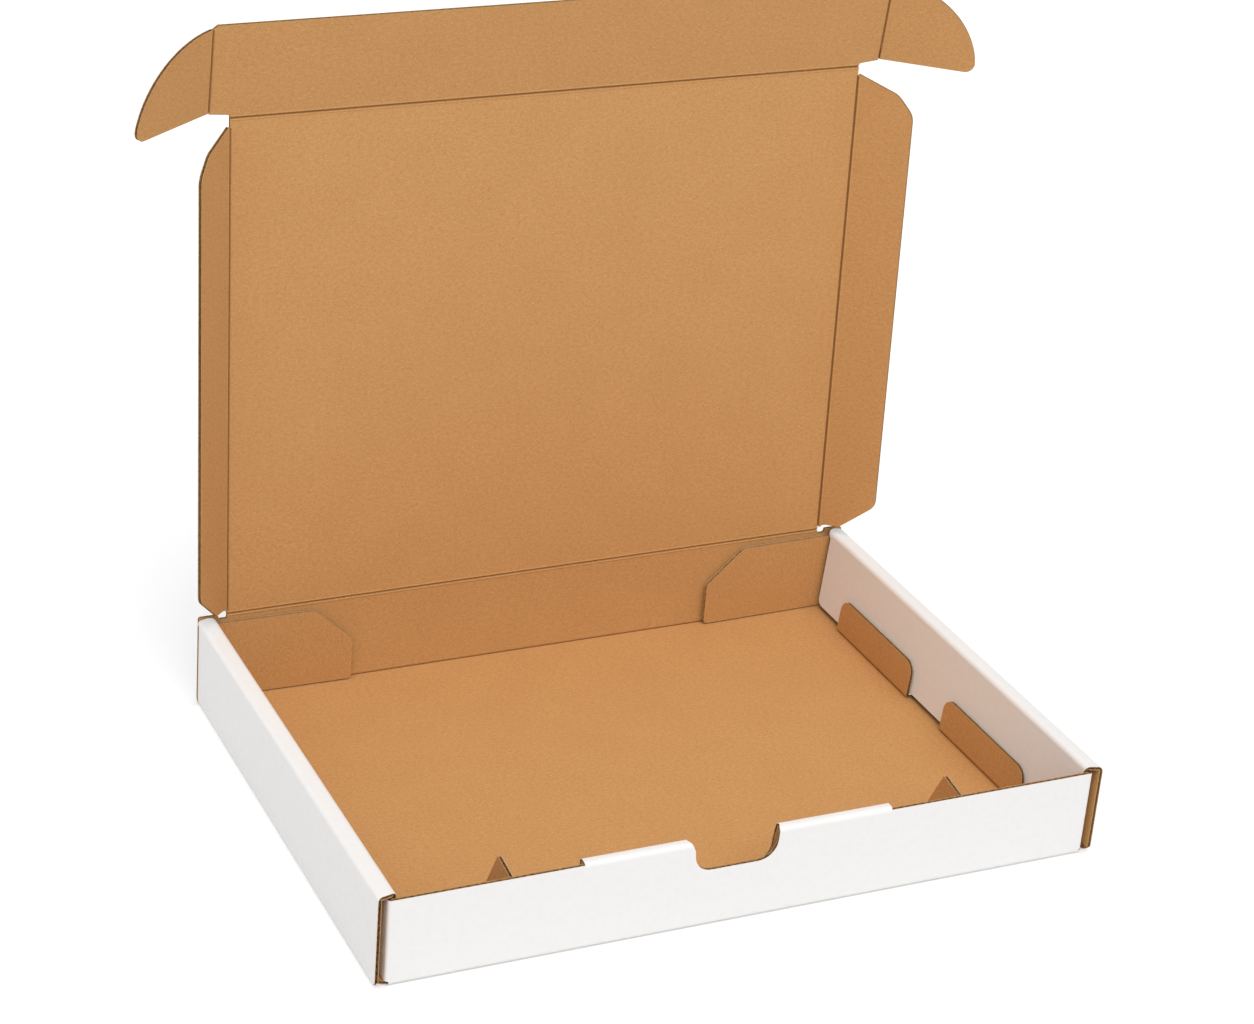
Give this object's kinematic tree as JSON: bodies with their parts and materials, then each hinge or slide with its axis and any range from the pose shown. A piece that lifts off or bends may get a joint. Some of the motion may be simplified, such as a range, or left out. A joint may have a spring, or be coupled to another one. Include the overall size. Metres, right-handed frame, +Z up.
{
  "type": "literature mailer box",
  "caption": "Shallow folding mailer box of fluted board, white outside and kraft inside, with rolled side walls, a hinged lid, dust flaps and a tuck-in front flap with ears.",
  "frame": {"origin": "on the ground under the middle of the front wall's outer face", "axes": "+X to the right seen from the front, +Y to the back, +Z up"},
  "size_m": [0.3862, 0.2371, 0.3102],
  "materials": {
    "board": "matte white liner outside, brown kraft liner inside, fluted cut edges"
  },
  "bodies": {
    "tray": {"tray": "board"},
    "lid": {"lid": "board"},
    "lid_left_flap": {"lid_left_flap": "board"},
    "lid_right_flap": {"lid_right_flap": "board"},
    "lid_front_flap": {"lid_front_flap": "board"},
    "left_ear": {"left_ear": "board"},
    "right_ear": {"right_ear": "board"}
  },
  "joints": [
    {"name": "lid_hinge", "type": "hinge", "parent": "tray", "child": "lid", "pos_m": [0, 0.226, 0.0422], "axis": [1, 0, 0], "range_deg": [-45, 92.4]},
    {"name": "left_side_crease", "type": "hinge", "parent": "lid", "child": "lid_left_flap", "pos_m": [-0.1465, 0.226, 0.0422], "axis": [0, 0.0419, 0.9991], "range_deg": [-45, 92.4]},
    {"name": "right_side_crease", "type": "hinge", "parent": "lid", "child": "lid_right_flap", "pos_m": [0.1465, 0.226, 0.0422], "axis": [0, -0.0419, -0.9991], "range_deg": [-45, 92.4]},
    {"name": "front_crease", "type": "hinge", "parent": "lid", "child": "lid_front_flap", "pos_m": [0, 0.23548, 0.2685], "axis": [1, 0, 0], "range_deg": [-10, 80]},
    {"name": "left_ear_crease", "type": "hinge", "parent": "lid_front_flap", "child": "left_ear", "pos_m": [-0.1559, 0.23548, 0.2685], "axis": [0, -0.1323, 0.9912], "range_deg": [-30, 60]},
    {"name": "right_ear_crease", "type": "hinge", "parent": "lid_front_flap", "child": "right_ear", "pos_m": [0.1559, 0.23548, 0.2685], "axis": [0, 0.1323, -0.9912], "range_deg": [-30, 60]}
  ],
  "couplings": [
    {"joint": "left_side_crease", "follows": "lid_hinge", "ratio": 1},
    {"joint": "right_side_crease", "follows": "lid_hinge", "ratio": 1}
  ]
}
